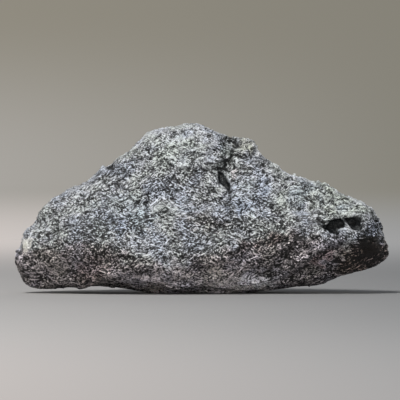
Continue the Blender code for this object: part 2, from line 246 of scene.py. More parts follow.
# How much of the relief is lost in pits and on the underside, and from where to where the stone
# faces downwards enough to count as underside.
FLAT_IN_PITS = 0.7
FLAT_BELOW = 0.5
UNDERSIDE = (0.35, 0.75)
# How far the stone faces the camera, from where the front's own marks start to where they are full.
FRONT = (-0.3, 0.1)
# Where the felt is paler and more even: up to the crest, a share of it, and on the right slope,
# from where to where along and upwards.
CALM_CREST = (26, 42)
CALM_CREST_SHARE = 0.8
CALM_WOBBLE = 1.5
CALM_WAVES = (9.0, 66)
CALM_RIGHT = (26, 38)
CALM_RIGHT_HEIGHT = (17, 23)
# Patches of the front: the middle as (x, z), half the length and half the height, the turn in
# degrees, how much lighter it is, and its tint. Most of those whose names hold lit or dim were set
# by comparing how bright parts of the render and of the photograph are. Those named lit are painted
# light and those named dim painted shade; some lit ones also brighten through their tint.
NO_TINT = (1.0, 1.0, 1.0)
PATCHES = {
    "cream_seam": ((-53.6, 15.0), (4.2, 1.2), 62, 1.5, (1.05, 1.0, 0.93)),
    "beside_seam": ((-50.0, 17.6), (2.6, 2.0), 30, 0.20, (1.0, 1.01, 0.97)),
    "pale_spot_left": ((-41.7, 17.8), (2.2, 1.0), -15, 0.40, (1.0, 1.0, 0.97)),
    "dark_left": ((-32.0, 20.8), (9.6, 3.8), 0, -0.36, (0.98, 1.0, 1.02)),
    "dark_left_low": ((-29.0, 15.8), (11.0, 3.6), -12, -0.20, NO_TINT),
    "dark_left_middle": ((-18.5, 23.2), (4.5, 4.0), 0, -0.24, (0.96, 1.0, 1.04)),
    "beige_block": ((13.4, 45.4), (3.6, 2.8), 0, -0.02, (1.05, 1.03, 0.91)),
    # Painted shade on the side of the slab by the crack, which faces away from the light.
    "shaded_slab_side": ((7.4, 43.9), (2.2, 3.4), 0, -0.24, (0.97, 1.02, 0.97)),
    "pink_rim": ((9.2, 37.6), (1.1, 2.0), 0, 0.28, (1.08, 0.98, 0.98)),
    # A white crystal with a painted highlight on it.
    "white_spot_and_highlight": ((13.8, 33.2), (1.1, 0.7), 20, 0.50, NO_TINT),
    # The next two patches are painted shade, near black, in the undercut at the right end, which faces
    # down, and in its corner.
    "painted_shade_undercut": ((49.6, 11.0), (10.0, 4.8), 28, -1.2, (1.15, 0.97, 0.85)),
    "painted_shade_corner": ((51.5, 14.8), (4.6, 3.4), -15, -1.0, (1.10, 0.98, 0.90)),
    # The next two patches are painted shade on the right end, beside the pit.
    "end_shadow": ((49.2, 18.6), (3.2, 2.6), -30, -0.22, (1.0, 1.0, 1.02)),
    "shaded_end_top": ((49.4, 23.0), (3.4, 2.2), -35, -0.34, (1.0, 1.0, 1.04)),
    # The next four patches are painted light on the foot and the low front, where the floor shades the
    # stone; the first three also brighten through their tints.
    "lit_foot": ((-1.0, 2.6), (27.0, 4.2), 0, 0.22, (1.20, 1.22, 1.23)),
    "lit_foot_edge": ((4.0, 0.6), (22.0, 2.2), 0, 0.36, (1.35, 1.35, 1.35)),
    "lit_foot_edge_left": ((-24.0, 4.0), (14.0, 1.8), -12, 0.20, (1.15, 1.15, 1.14)),
    "lit_low_band": ((18.0, 4.4), (8.0, 3.2), 5, 0.24, (0.95, 1.0, 1.06)),
    # The next three patches are painted light on the ridges of the ledges, and the fourth is painted
    # shade on a ledge's shadowed side, with a reddish tint.
    "lit_ridge_first": ((26.0, 12.6), (4.0, 1.3), 48, 0.05, NO_TINT),
    "lit_ridge_second": ((33.5, 14.4), (5.5, 1.7), 30, 0.32, NO_TINT),
    "lit_ridge_third": ((41.5, 12.6), (6.5, 1.6), 28, 0.62, (1.0, 1.0, 0.98)),
    "shaded_stripe_first": ((19.6, 16.0), (9.6, 1.4), 13, -0.22, (1.06, 0.97, 0.95)),
    "block_slope": ((17.2, 44.0), (1.7, 2.6), 0, 0.26, (1.02, 1.0, 0.96)),
    "dim_upper_left": ((-10.0, 36.0), (5.5, 3.0), 0, -0.16, NO_TINT),
    "lit_middle_right": ((24.8, 31.4), (8.0, 2.6), -5, 0.22, NO_TINT),
    # Painted shadow beside the block.
    "shadow_by_block": ((18.2, 40.6), (2.8, 2.0), 0, -0.64, NO_TINT),
    "dark_band_low": ((18.0, 22.0), (3.6, 2.4), 0, -0.24, NO_TINT),
    "dark_line_left": ((-28.0, 12.8), (8.0, 2.2), -14, -0.28, (1.0, 0.99, 0.98)),
    "dark_left_end": ((-43.0, 16.4), (4.0, 2.2), -15, -0.26, NO_TINT),
    "lit_below_brow": ((-8.0, 7.6), (8.0, 3.0), 0, 0.46, (1.20, 1.20, 1.18)),
    "lit_below_middle": ((7.0, 8.2), (7.0, 3.0), 10, 0.42, (1.20, 1.19, 1.17)),
    "dim_slope": ((-33.0, 30.0), (4.5, 2.4), 30, -0.12, NO_TINT),
    "dim_middle": ((-2.2, 31.2), (5.4, 2.6), 0, -0.24, NO_TINT),
    "dim_low_middle": ((-4.6, 14.8), (5.6, 3.0), 0, -0.22, NO_TINT),
    "lit_crest": ((-4.0, 48.6), (11.0, 3.0), 0, 0.22, NO_TINT),
    "lit_shoulder": ((2.4, 41.6), (4.8, 3.6), 0, 0.34, NO_TINT),
    "lit_upper_middle": ((-6.8, 40.6), (3.6, 3.2), 0, 0.34, NO_TINT),
    "lit_left_of_middle": ((-22.0, 33.4), (4.8, 4.0), 0, 0.22, NO_TINT),
    "lit_middle": ((-6.8, 26.8), (3.8, 3.0), 0, 0.28, (0.99, 1.0, 1.02)),
    "lit_by_crack": ((12.4, 35.8), (5.6, 2.8), 0, 0.18, NO_TINT),
    "lit_far_slope": ((22.0, 31.4), (4.6, 3.0), 0, 0.18, NO_TINT),
    "lit_below_slope": ((30.0, 24.6), (3.4, 3.4), 0, 0.18, NO_TINT),
    "lit_low_right": ((36.3, 8.3), (3.6, 1.8), 25, 0.24, NO_TINT),
    "lit_low_ledge": ((24.0, 8.3), (2.4, 2.0), 0, 0.22, NO_TINT),
    "pit_corner": ((36.2, 22.0), (1.7, 0.9), 0, -0.7, NO_TINT),
    "dim_right_slope": ((41.0, 28.6), (4.0, 3.4), -20, -0.18, NO_TINT),
    "dim_left_slope": ((-30.0, 37.0), (3.4, 3.6), 20, -0.18, NO_TINT),
    "dim_right_end": ((48.6, 17.4), (2.8, 2.4), 0, -0.40, NO_TINT),
    "dim_below_ledge": ((24.4, 13.2), (3.0, 2.6), 0, -0.44, NO_TINT),
    "lit_foot_left": ((-16.0, 3.0), (9.0, 2.8), -8, 0.56, (1.55, 1.52, 1.48)),
    "lit_foot_right": ((12.0, 3.0), (11.0, 3.0), 6, 0.50, (1.38, 1.38, 1.38)),
    "right_slope": ((39.4, 28.5), (13.0, 5.0), -22, 0.04, (1.0, 1.03, 0.95)),
    "pale_spots_right": ((27.1, 29.2), (5.0, 4.0), 0, 0.18, (1.0, 1.02, 0.98)),
    "blue_right": ((14.8, 29.8), (8.0, 7.5), 0, 0.02, (0.955, 0.995, 1.05)),
    "blue_left": ((-24.5, 25.0), (11.0, 7.0), 0, 0.0, (0.96, 0.995, 1.045)),
    "green_apex": ((-8.3, 43.7), (9.0, 5.0), 0, 0.06, (0.99, 1.015, 0.98)),
    "rust_left": ((-33.8, 6.8), (6.5, 4.5), 20, -0.06, (1.06, 0.97, 0.96)),
    "rust_ledge": ((37.0, 11.0), (5.0, 1.8), 25, -0.10, (1.12, 0.94, 0.90)),
    "blue_end": ((53.4, 19.4), (3.2, 4.2), 0, -0.22, (0.98, 0.99, 1.05)),
    "dark_middle": ((1.0, 22.4), (8.0, 2.6), -8, -0.30, (1.04, 0.98, 0.96)),
    "dark_right_middle": ((23.5, 21.6), (3.4, 1.8), 0, -0.18, NO_TINT),
}
# How far the patches' edges wander, and where, in shares of their size, they fade.
PATCH_WOBBLE = 0.7
PATCH_SWAY = (3.0, 61)
PATCH_RISE = (3.0, 62)
PATCH_FADES = (0.55, 1.15)

# The felt on the skin, a layer over a layer: the size of the bundles in which the needles lie one
# way, the needles' width and length, a shift that sets the layers apart, the share of the surface
# that the layer covers, and how much paler its needles are.
FELT_LAYERS = [
    (3.4, 0.35, 2.10, 0.0, 0.0, 0.0), (2.6, 0.32, 1.40, 17.0, 0.42, 0.0),
    (1.6, 0.29, 0.60, 41.0, 0.20, 0.0), (4.5, 0.36, 4.50, 63.0, 0.13, 0.26),
]
# From where to where a needle's spine turns into the gap beside it, how dark the gap is painted, as
# painted shade between the needles, how much higher each layer lies than the one below it, and the
# direction of the layers' shifts.
SPINE_TO_GAP = (0.40, 0.60)
GAP_PAINTED_SHADE = 0.50
LAYER_THICKNESS = 0.4
LAYERS_APART = (1.0, 2.3, -1.7)
# The needles wander a little: how far, and over what length.
WANDER = 0.5
WANDER_LENGTH = 1.1
# The felt's tone is spread about its middle by the contrast, and then set to its level.
TONE_MIDDLE = 0.4
TONE_LEVEL = 0.445
CONTRAST = 2.4
CONTRAST_ABOVE = -1.0
CONTRAST_BELOW_BROW = 0.8
CONTRAST_CALM = -0.65
# What makes the tone lighter, or darker where it is below zero: painted light on faces that look
# upwards, a little paleness where the felt is calm, painted shade below the brow, and painted shade
# in crevices and creases.
PAINTED_LIGHT_ABOVE = 0.26
LIGHTER_CALM = 0.03
PAINTED_SHADE_BELOW_BROW = -0.19
PAINTED_SHADE_IN_CREVICES = -0.75
# The same for places that stand out, lighter as painted light, and for hollows, darker as painted
# shade, and for broad clouds: from where to where, and from how much to how much. Then the clouds'
# size, detail and roughness, and how they are drawn out.
RELIEF_LIGHT_AND_SHADE = (-0.3, 0.3, -0.30, 0.30)
BROAD_CHANGE = (0.28, 0.72, -0.2, 0.2)
BROAD_LENGTH = 5.0
BROAD_DETAIL = 4.0
BROAD_ROUGHNESS = 0.62
STRETCH = (0.7, 1, 1)
# From where to where the stone faces upwards enough to count as above.
ABOVE = (0.25, 0.85)
# Flecks: their spacing and edge, the random number from which they are bright and how much lighter
# those are, as pale crystals with painted glints, and the one up to which they are dark and how much
# lighter those are.
FLECK_SPACING = 1.9
FLECK_EDGE = (0.10, 0.26)
GLINT_FROM = 0.80
GLINT = 0.35
POCKET_UNTIL = 0.22
POCKET = -0.38
# The grey of each tone, which leans to blue.
TONES = [(0.0, 0.008), (0.2, 0.065), (0.4, 0.17), (0.6, 0.29), (0.8, 0.43), (1.0, 0.65)]
LEANS_TO_BLUE = (0.96, 1.0, 1.07)
# Broad changes of hue, from blue over plain to green, and the warmer stone below the brow.
HUES = [(0.36, (0.95, 0.99, 1.06)), (0.48, NO_TINT), (0.62, (1.0, 1.02, 0.95))]
HUE_LENGTH = 7.0
WARM = (1.10, 0.955, 0.93)
# The glossy black mineral, and the slivers in it.
BLACK = (0.008, 0.009, 0.010)
SLIVER = (0.040, 0.044, 0.046)
SLIVER_FROM = 0.84
# How far the needles' faces tilt, and how rough they are, in the felt and in the black mineral, and
# the strength and the height of the bump.
FELT_TILT = 0.7
BLACK_TILT = 0.2
FELT_ROUGHNESS = (0.35, 0.7)
BLACK_ROUGHNESS = 0.26
BUMP_STRENGTH = 0.5
BUMP_HEIGHT = 0.15

# Large odd factors, which scramble whole numbers, the shifts that stir them, and how many of their
# 64 bits are used.
SCRAMBLERS = (73856093, 19349663, 83492791)
MIXER = 0x9E3779B97F4A7C15
SHIFTS = (31, 29)
USED_BITS = 53
# A distance, in cells, that is further than any centre in the cells around.
FAR = 9.0


def ramp(value, start, end):
    """0 before start and 1 after end, with a smooth rise between them."""
    share = np.clip((value - start) / (end - start), 0, 1)
    return share * share * (3 - 2 * share)


def nearest_on(starts, ends, x, z):
    """The distance from each point to each straight side."""
    sides = ends - starts
    points = np.stack([x, z], axis=-1)[:, None]
    share = np.clip(((points - starts) * sides).sum(-1) / (sides**2).sum(-1), 0, 1)
    return np.linalg.norm(points - starts - share[..., None] * sides, axis=-1)


def from_path(path, x, z):
    """How far each point is from a path."""
    corners = np.array(path)
    return nearest_on(corners[:-1], corners[1:], x, z).min(axis=1)


def inside(outline, x, z):
    """How far each point lies inside a closed outline, and below zero outside it."""
    starts = np.array(outline)
    ends = np.roll(starts, -1, axis=0)
    distance = nearest_on(starts, ends, x, z).min(axis=1)
    level = z[:, None]
    crosses = (starts[:, 1] > level) != (ends[:, 1] > level)
    rise = ends[:, 1] - starts[:, 1]
    rise[rise == 0] = 1
    crossing = starts[:, 0] + (level - starts[:, 1]) * (ends - starts)[:, 0] / rise
    within = (crosses & (x[:, None] < crossing)).sum(axis=1) % 2 == 1
    return np.where(within, distance, -distance)


def waviness(points, wavelength, seed, waves=24):
    """A random surface of about this wavelength, which rises and falls by about 1."""
    pick = np.random.default_rng(seed)
    ways = pick.normal(size=(waves, 3))
    ways *= 2 * math.pi / wavelength / np.linalg.norm(ways, axis=1)[:, None]
    shifts = pick.uniform(0, 2 * math.pi, waves)
    return np.cos(points @ ways.T + shifts).sum(axis=1) * math.sqrt(2 / waves)


def scattered(cells, seed):
    """Three random numbers from 0 to 1 for each whole-numbered cell."""
    keys = cells.astype(np.int64).astype(np.uint64)
    mixed = np.full(keys.shape[:-1], seed, np.uint64) * np.uint64(MIXER)
    for axis, factor in enumerate(SCRAMBLERS):
        mixed ^= keys[..., axis] * np.uint64(factor)
    numbers = []
    for _ in range(3):
        mixed = (mixed ^ (mixed >> np.uint64(SHIFTS[0]))) * np.uint64(MIXER)
        mixed ^= mixed >> np.uint64(SHIFTS[1])
        numbers.append((mixed >> np.uint64(64 - USED_BITS)) / float(2**USED_BITS))
    return np.stack(numbers, axis=-1)


def grains(points, seed):
    """The distances to the nearest and second nearest of random centres, one in each unit cell,
    and the nearest one's cell."""
    base = np.floor(points)
    nearest = np.full(len(points), FAR)
    second = np.full(len(points), FAR)
    home = np.zeros_like(points)
    for step in np.ndindex(3, 3, 3):
        cell = base + (np.array(step) - 1)
        away = np.linalg.norm(cell + scattered(cell, seed) - points, axis=1)
        closer = away < nearest
        second = np.where(closer, nearest, np.minimum(second, away))
        nearest = np.where(closer, away, nearest)
        home[closer] = cell[closer]
    return nearest, second, home


def needles(points, bundle, width, length, seed):
    """How far inside its needle each point is, and the needle's own random numbers."""
    lean = 2 * scattered(grains(points / bundle, seed)[2], seed + 1) - 1
    way = np.array(GRAIN) + np.array(GRAIN_SPREAD) * lean
    way /= np.linalg.norm(way, axis=1)[:, None]
    along = (points * way).sum(axis=1) * (1 / length - 1 / width)
    nearest, second, home = grains(points / width + way * along[:, None], seed + 2)
    return second - nearest, scattered(home, seed + 3)


def coordinates(mesh):
    """The mesh's points as an array, in millimetres."""
    points = np.empty(len(mesh.vertices) * 3, np.float32)
    mesh.vertices.foreach_get("co", points)
    return points.reshape(-1, 3).astype(float) / MM


def set_coordinates(mesh, points):
    """Moves the mesh's points to these places, in millimetres."""
    mesh.vertices.foreach_set("co", (points * MM).astype(np.float32).ravel())
    mesh.update()


def normals(mesh):
    """The direction that the mesh faces at each point."""
    found = np.empty(len(mesh.vertices) * 3, np.float32)
    mesh.vertex_normals.foreach_get("vector", found)
    return found.reshape(-1, 3).astype(float)


def edge_ends(mesh):
    """The two points of each edge, and the same edges turned round."""
    edges = np.empty(len(mesh.edges) * 2, np.int32)
    mesh.edges.foreach_get("vertices", edges)
    edges = edges.reshape(-1, 2)
    return np.concatenate([edges, edges[:, ::-1]])


def neighbours_mean(values, ends):
    """The mean of each point's neighbours."""
    count = np.bincount(ends[:, 0], minlength=len(values))
    if values.ndim == 1:
        return np.bincount(ends[:, 0], values[ends[:, 1]], len(values)) / count
    return np.stack([neighbours_mean(column, ends) for column in values.T], axis=-1)


def evened(points, ends, rounds):
    """The points after each has moved towards its neighbours' middle, and back, some times."""
    for _ in range(rounds):
        for share in EVENING_STEPS:
            points = points + share * (neighbours_mean(points, ends) - points)
    return points


def eased(points, ends, share):
    """The points after each has moved, by its share, towards its neighbours' middle."""
    for _ in range(DEEP_EASING):
        points = points + EASING_STEP * share[:, None] * (neighbours_mean(points, ends) - points)
    return points


def fine_skin(node):
    """A close even mesh of the node's form, with its flat triangles smoothed away."""
    mesh = node.data.copy()
    net = bmesh.new()
    net.from_mesh(mesh)
    bmesh.ops.remove_doubles(net, verts=net.verts, dist=WELD * MM)
    net.to_mesh(mesh)
    net.free()
    rough = bpy.data.objects.new("rough", mesh)
    bpy.context.scene.collection.objects.link(rough)
    remesh = rough.modifiers.new("Remesh", "REMESH")
    remesh.mode = "VOXEL"
    remesh.voxel_size = SKIN_CELL * MM
    graph = bpy.context.evaluated_depsgraph_get()
    fine = bpy.data.meshes.new_from_object(rough.evaluated_get(graph))
    bpy.data.objects.remove(rough)
    fine.materials.clear()
    set_coordinates(fine, evened(coordinates(fine), edge_ends(fine), FACET_EVENING))
    return fine


def broken_facets(points, size, slope, seed):
    """Small tilted facets, as where grains broke away: the height of the surface on them."""
    drawn = points / size * FACET_STRETCH
    _, _, home = grains(drawn, seed)
    centre = home + scattered(home, seed)
    tilt = 2 * scattered(home, seed + 1) - 1
    return slope * size * ((drawn - centre) * tilt).sum(axis=1)


def creases(points):
    """Broken lines where lumps of crystals meet, from 0 to 1."""
    total = np.zeros(len(points))
    for wavelength, seed in CREASES:
        waves = waviness(points * CREASE_STRETCH, wavelength, seed)
        here = ramp(waviness(points, CREASE_AREAS * wavelength, seed + 5), *CREASE_FADES)
        total = np.maximum(total, here * np.exp(-((waves / CREASE_NARROWNESS) ** 2)))
    return total


def relief(points):
    """The height of the fine surface over the broad form."""
    slanted = points[:, 0] - LEFT_SLANT * points[:, 2]
    fine_share = LEFT_SHARE + (1 - LEFT_SHARE) * ramp(slanted, *LEFT_EDGE)
    height = broken_facets(points, *COARSE_FACETS) + fine_share * broken_facets(points, *FINE_FACETS)
    from_crest = np.hypot(points[:, 0] - CREST[0], points[:, 2] - CREST[1])
    height += CREST_RAISED * (1 - ramp(from_crest, *CREST_REACH)) - CREASE_DEPTH * creases(points)
    for bundle, width, length, seed, uneven, edge, gap in LUMPS:
        within, pick = needles(points, bundle, width, length, seed)
        height += uneven * (pick[:, 0] - 0.5) * ramp(within, 0, edge)
        height -= GAP_DEPTH * (1 - ramp(within, 0, gap))
    # The last lumps in the loop are the small ones.
    fallen = pick[:, 1] > FALLEN_FROM
    return height - FALLEN_DEPTH * fallen * ramp(within, *FALLEN_EDGE)


def patches(points):
    """How much lighter each point of the front is, and its tint."""
    x = points[:, 0] + PATCH_WOBBLE * waviness(points, *PATCH_SWAY)
    z = points[:, 2] + PATCH_WOBBLE * waviness(points, *PATCH_RISE)
    lighter = np.zeros_like(x)
    tint = np.ones((len(x), 3))
    for (middle_x, middle_z), (length, height), turn, light, colour in PATCHES.values():
        turn = math.radians(turn)
        across, up = x - middle_x, z - middle_z
        along = (across * math.cos(turn) + up * math.sin(turn)) / length
        aside = (up * math.cos(turn) - across * math.sin(turn)) / height
        share = 1 - ramp(np.hypot(along, aside), *PATCH_FADES)
        lighter += share * light
        tint *= 1 + share[:, None] * (np.array(colour) - 1)
    return lighter, tint


def strands(points):
    """How near each point of the front is to a pale strand, from 0 to 1."""
    away = [from_path(path, points[:, 0], points[:, 2]) for path in STRANDS]
    return 1 - ramp(np.min(away, axis=0), *STRAND_EDGE)


def calm(points):
    """Where the front's felt is paler and more even: on the crest and on the right slope."""
    x, z = points[:, 0], points[:, 2]
    crest = ramp(z + CALM_WOBBLE * waviness(points, *CALM_WAVES), *CALM_CREST)
    right = ramp(x, *CALM_RIGHT) * ramp(z, *CALM_RIGHT_HEIGHT)
    return np.maximum(CALM_CREST_SHARE * crest, right)


def features(points, looks):
    """The depth of the front's crevices and pits, how dark the crevices are painted as shade, and where
    the stone is glossy.
    """
    sway = EDGE_WOBBLE * waviness(points, *EDGE_SWAY)
    rise = EDGE_WOBBLE * waviness(points, *EDGE_RISE)
    x, z = points[:, 0], points[:, 2]
    front = ramp(-looks[:, 1], *FRONT)
    depth, dark, gloss = np.zeros_like(x), np.zeros_like(x), np.zeros_like(x)
    for path, half, deep, black in CREVICES.values():
        away = from_path(path, x + sway, z + rise) / half
        depth += deep * (1 - ramp(away, 0, CREVICE_REACH))
        dark = np.maximum(dark, black * (1 - ramp(away, *CREVICE_FADES)))
    for outline, deep in BLACK_PITS.values():
        within = inside(outline, x + PIT_SWAY * sway, z + PIT_RISE * rise)
        depth += deep * ramp(within, *PIT_WALL)
        gloss = np.maximum(gloss, ramp(within, *PIT_BLACK))
    strand = strands(points)
    depth -= STRAND_RAISED * strand
    gloss *= 1 - strand
    return front * depth, front * dark, front * gloss


def add_values(mesh, name, values):
    """Stores one number for each point, for the material."""
    layer = mesh.attributes.new(name, "FLOAT", "POINT")
    layer.data.foreach_set("value", values.astype(np.float32))


def blurred(values, ends, rounds):
    """The values, each evened out over its surroundings."""
    for _ in range(rounds):
        values = neighbours_mean(values, ends)
    return values


def store_looks(mesh, points, looks, ends, height, dark, gloss):
    """Stores at each point what the material needs to know about it."""
    front = ramp(-looks[:, 1], *FRONT)
    below_brow = np.interp(points[:, 0], *np.array(BROW).T) - points[:, 2]
    below_brow += BROW_WOBBLE * waviness(points, *BROW_WAVES)
    below_brow = ramp(below_brow, -BROW_SOFTNESS, BROW_SOFTNESS)
    upward = blurred(looks[:, 2], ends, LOOKS_ROUNDS)
    downward = DOWNWARD_WOBBLE * waviness(points, *DOWNWARD_WAVES) - upward
    downward = ramp(downward, *DOWNWARD)
    lighter, tint = patches(points)
    add_values(mesh, "standing_out", height - blurred(height, ends, RELIEF_ROUNDS))
    # Painted shade in crevices and creases.
    add_values(mesh, "dark", np.maximum(dark, CREASE_PAINTED_SHADE * creases(points)))
    add_values(mesh, "gloss", gloss)
    add_values(mesh, "calm", front * calm(points))
    # Browner, and darker as painted shade, below the brow on the front and where the back faces down.
    add_values(mesh, "brown", front * below_brow + (1 - front) * downward)
    add_values(mesh, "upward", upward)
    add_values(mesh, "lighter", front * (lighter + STRAND_LIGHTER * strands(points)))
    # Tints, some of which brighten the foot and the low front as painted light.
    layer = mesh.attributes.new("tint", "FLOAT_COLOR", "POINT")
    tint = 1 + front[:, None] * (tint - 1)
    layer.data.foreach_set("color", np.c_[tint, np.ones(len(tint))].astype(np.float32).ravel())


def make_stone():
    """The stone's skin, finer than its solid, with its relief, crevices, pits and strands."""
    mesh = fine_skin(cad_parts["nuummite"])
    points, ends, looks = coordinates(mesh), edge_ends(mesh), normals(mesh)
    depth, dark, gloss = features(points, looks)
    height = relief(points) * (1 - FLAT_IN_PITS * gloss)
    height *= 1 - FLAT_BELOW * ramp(-looks[:, 2], *UNDERSIDE)
    store_looks(mesh, points, looks, ends, height, dark, gloss)
    outwards = ramp(points[:, 2], 0, BASE_HEIGHT) * (height - depth - SKIN_SUNK)
    points = points + looks * outwards[:, None]
    set_coordinates(mesh, eased(points, ends, ramp(depth, *DEEP)))
    mesh = back_thinned(mesh)
    set_coordinates(mesh, np.clip(coordinates(mesh), *BOX_MM))
    mesh.name = "stone"
    mesh.shade_smooth()
    stone = bpy.data.objects.new("stone", mesh)
    bpy.context.scene.collection.objects.link(stone)
    return stone


def back_thinned(mesh):
    """The mesh with fewer triangles behind, where the photograph doesn't look."""
    thick = bpy.data.objects.new("thick", mesh)
    bpy.context.scene.collection.objects.link(thick)
    behind = ramp(normals(mesh)[:, 1], *BEHIND)
    group = thick.vertex_groups.new(name="behind")
    for level in range(1, BEHIND_LEVELS + 1):
        chosen = np.flatnonzero(np.rint(BEHIND_LEVELS * behind) == level)
        group.add(chosen.tolist(), level / BEHIND_LEVELS, "REPLACE")
    thin = thick.modifiers.new("Decimate", "DECIMATE")
    thin.ratio = SKIN_KEPT
    thin.vertex_group = "behind"
    graph = bpy.context.evaluated_depsgraph_get()
    found = bpy.data.meshes.new_from_object(thick.evaluated_get(graph))
    bpy.data.objects.remove(thick)
    return without_idle_points(found)


def without_idle_points(mesh):
    """The mesh without points between only two faces, which turn into folds as triangles."""
    net = bmesh.new()
    net.from_mesh(mesh)
    idle = [point for point in net.verts if len(point.link_edges) == 2]
    bmesh.ops.dissolve_verts(net, verts=idle)
    net.to_mesh(mesh)
    net.free()
    return mesh


class Web:
    """A material's nodes, made and joined by short calls."""

    def __init__(self, name):
        self.material = bpy.data.materials.new(name)
        self.material.use_nodes = True
        self.nodes = self.material.node_tree.nodes
        self.shader = self.nodes["Principled BSDF"]

    def put(self, socket, value):
        """Joins a socket to the value, or sets the value on it."""
        if isinstance(value, bpy.types.NodeSocket):
            self.material.node_tree.links.new(value, socket)
        elif hasattr(value, "__len__") and len(socket.default_value) == len(value) + 1:
            socket.default_value = (*value, 1)
        else:
            socket.default_value = value

    def node(self, kind, *values, **settings):
        """A node of this kind, with its settings and its first inputs."""
        node = self.nodes.new(kind)
        for name, value in settings.items():
            setattr(node, name, value)
        for socket, value in zip(node.inputs, values):
            self.put(socket, value)
        return node

    def sum(self, operation, *values):
        """The outcome of an operation on numbers."""
        return self.node("ShaderNodeMath", *values, operation=operation).outputs[0]

    def more(self, value, share, amount):
        """The value and, by the share, this amount more."""
        return self.sum("ADD", value, self.sum("MULTIPLY", share, amount))

    def vector(self, operation, *values):
        """The outcome of an operation on places or directions."""
        node = self.node("ShaderNodeVectorMath", operation=operation)
        slots = [0, 3] if operation == "SCALE" else range(len(values))
        for slot, value in zip(slots, values):
            self.put(node.inputs[slot], value)
        return node.outputs["Value" if operation in ("DOT_PRODUCT", "LENGTH") else "Vector"]

    def centred(self, colour):
        """The colour's three numbers, moved to lie between -0.5 and 0.5."""
        return self.vector("SUBTRACT", colour, (0.5, 0.5, 0.5))

    def split(self, colour):
        """The colour's red, green and blue."""
        return self.node("ShaderNodeSeparateColor", colour).outputs[:3]

    def mix(self, share, first, second, blend="MIX"):
        """The first colour, and the second by its share."""
        node = self.node("ShaderNodeMix", data_type="RGBA", blend_type=blend)
        for slot, value in zip((0, 6, 7), (share, first, second)):
            self.put(node.inputs[slot], value)
        return node.outputs[2]

    def between(self, share, first, second):
        """The number that lies between two by this share."""
        node = self.node("ShaderNodeMix", data_type="FLOAT")
        for slot, value in zip((0, 2, 3), (share, first, second)):
            self.put(node.inputs[slot], value)
        return node.outputs[0]

    def rise(self, value, start, end, low=0.0, high=1.0, smooth=True):
        """Low up to start and high from end, with a rise between them."""
        kind = "SMOOTHSTEP" if smooth else "LINEAR"
        node = self.node("ShaderNodeMapRange", value, start, end, low, high)
        node.interpolation_type = kind
        return node.outputs[0]

    def noise(self, place, size, detail=2.0, roughness=0.5):
        """Cloudy noise with clouds of about this size."""
        node = self.node("ShaderNodeTexNoise", noise_dimensions="3D")
        self.put(node.inputs["Vector"], place)
        self.put(node.inputs["Scale"], 1 / size)
        self.put(node.inputs["Detail"], detail)
        self.put(node.inputs["Roughness"], roughness)
        return node

    def grains(self, place, size=1.0):
        """Random centres this far apart, each with a colour of its own."""
        node = self.node("ShaderNodeTexVoronoi", voronoi_dimensions="3D", feature="F1")
        self.put(node.inputs["Vector"], place)
        self.put(node.inputs["Scale"], 1 / size)
        return node

    def colours(self, share, stops):
        """The colour at this share of the way along the stops."""
        node = self.node("ShaderNodeValToRGB", share)
        shades = node.color_ramp.elements
        while len(shades) < len(stops):
            shades.new(1)
        for shade, (position, colour) in zip(shades, stops):
            shade.position = position
            shade.color = (*colour, 1)
        return node.outputs[0]

    def own(self, name):
        """The number that the mesh stores under this name."""
        return self.node("ShaderNodeAttribute", attribute_name=name).outputs["Fac"]


def felt_layer(web, place, bundle, width, length, shift):
    """One layer of needles: three random numbers for each, and the distance from its spine."""
    place = web.vector("ADD", place, [shift * part for part in LAYERS_APART])
    lean = web.centred(web.grains(place, bundle).outputs["Color"])
    lean = web.vector("MULTIPLY", lean, [2 * spread for spread in GRAIN_SPREAD])
    way = web.vector("NORMALIZE", web.vector("ADD", lean, GRAIN))
    along = web.sum("MULTIPLY", web.vector("DOT_PRODUCT", place, way), 1 / length - 1 / width)
    drawn = web.vector("ADD", web.vector("SCALE", place, 1 / width), web.vector("SCALE", way, along))
    needle = web.grains(drawn)
    return needle.outputs["Color"], needle.outputs["Distance"]


def felt(web, place):
    """The layers of needles over one another: their tone, height and random numbers."""
    tone, height, tilt = None, None, None
    for number, (bundle, width, length, shift, share, paler) in enumerate(FELT_LAYERS):
        pick, away = felt_layer(web, place, bundle, width, length, shift)
        red, green, _ = web.split(pick)
        spine = web.rise(away, *SPINE_TO_GAP, 1, 0)
        # Painted shade in the gap between needles.
        shade = web.sum("MULTIPLY", web.sum("SUBTRACT", spine, 1), GAP_PAINTED_SHADE)
        shade = web.sum("ADD", web.sum("ADD", green, paler), shade)
        if number == 0:
            tone, height, tilt = shade, spine, pick
            continue
        cover = web.sum("LESS_THAN", red, share)
        tone = web.between(cover, tone, shade)
        height = web.between(cover, height, web.sum("ADD", spine, LAYER_THICKNESS * number))
        tilt = web.mix(cover, tilt, pick)
    return tone, height, tilt


def flecks(web, place):
    """How much lighter the bright flecks, pale crystals with painted glints, make the stone, and how much
    darker the dark ones.
    """
    fleck = web.grains(place, FLECK_SPACING)
    pick = web.split(fleck.outputs["Color"])[0]
    near = web.rise(fleck.outputs["Distance"], *FLECK_EDGE, 1, 0)
    glint = web.sum("MULTIPLY", web.sum("GREATER_THAN", pick, GLINT_FROM), near)
    pocket = web.sum("MULTIPLY", web.sum("LESS_THAN", pick, POCKET_UNTIL), near)
    return web.more(web.sum("MULTIPLY", glint, GLINT), pocket, POCKET)


